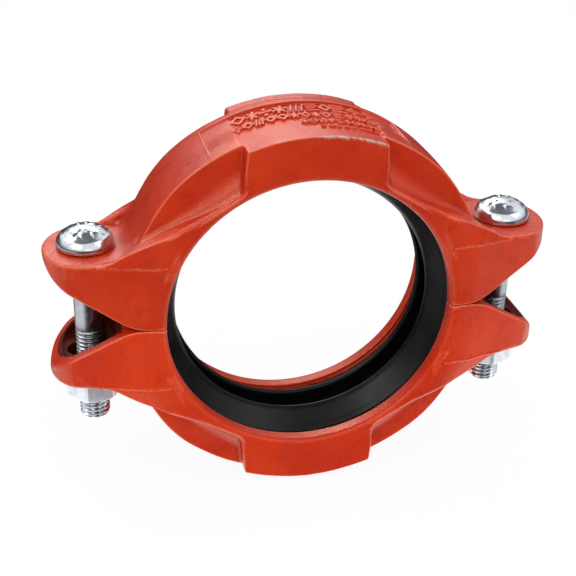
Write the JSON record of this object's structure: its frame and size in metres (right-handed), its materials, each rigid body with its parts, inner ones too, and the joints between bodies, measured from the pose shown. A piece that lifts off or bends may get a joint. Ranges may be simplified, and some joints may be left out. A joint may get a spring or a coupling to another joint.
{
  "type": "pipe coupling",
  "caption": "Rigid grooved pipe coupling: painted cast housing halves with bolt ears, drawn together by track bolts and hex nuts around a rubber sealing ring.",
  "frame": {"origin": "on the pipe axis, midway between the front and back faces, at the parting plane of the housing halves", "axes": "+Y along the pipe axis from the front face to the back face, +X towards the right-hand bolt, +Z towards the crown of the upper housing"},
  "size_m": [0.1984, 0.0488, 0.1484],
  "materials": {
    "housing_paint": "satin orange-red enamel over a cast surface",
    "gasket_rubber": "moulded black rubber, satin on the sealing lips",
    "zinc_plate": "bright zinc plated steel"
  },
  "bodies": {
    "lower_housing": {"lower_housing": "housing_paint"},
    "upper_housing": {"upper_housing": "housing_paint"},
    "gasket": {"gasket": "gasket_rubber"},
    "bolt_left": {"bolt_left": "zinc_plate"},
    "bolt_right": {"bolt_right": "zinc_plate"},
    "nut_left": {"nut_left": "zinc_plate"},
    "nut_right": {"nut_right": "zinc_plate"}
  },
  "joints": [
    {"name": "upper_opening", "type": "slide", "parent": "lower_housing", "child": "upper_housing", "axis": [0, 0, 1], "range_m": [0, 0.008]},
    {"name": "bolt_left_slide", "type": "slide", "parent": "lower_housing", "child": "bolt_left", "axis": [0, 0, 1], "range_m": [0, 0.008]},
    {"name": "bolt_right_slide", "type": "slide", "parent": "lower_housing", "child": "bolt_right", "axis": [0, 0, 1], "range_m": [0, 0.008]},
    {"name": "gasket_float", "type": "slide", "parent": "lower_housing", "child": "gasket", "axis": [0, 0, 1], "range_m": [0, 0.004]},
    {"name": "nut_left_turn", "type": "hinge", "parent": "lower_housing", "child": "nut_left", "pos_m": [-0.0824, 0, -0.032], "axis": [0, 0, 1], "range_deg": [-1646, 0]},
    {"name": "nut_right_turn", "type": "hinge", "parent": "lower_housing", "child": "nut_right", "pos_m": [0.0824, 0, -0.032], "axis": [0, 0, 1], "range_deg": [-1646, 0]}
  ],
  "couplings": [
    {"joint": "bolt_left_slide", "follows": "upper_opening", "ratio": 1},
    {"joint": "bolt_right_slide", "follows": "upper_opening", "ratio": 1},
    {"joint": "gasket_float", "follows": "upper_opening", "ratio": 0.5},
    {"joint": "nut_left_turn", "follows": "upper_opening", "rad_per_m": -3590.4},
    {"joint": "nut_right_turn", "follows": "upper_opening", "rad_per_m": -3590.4}
  ]
}
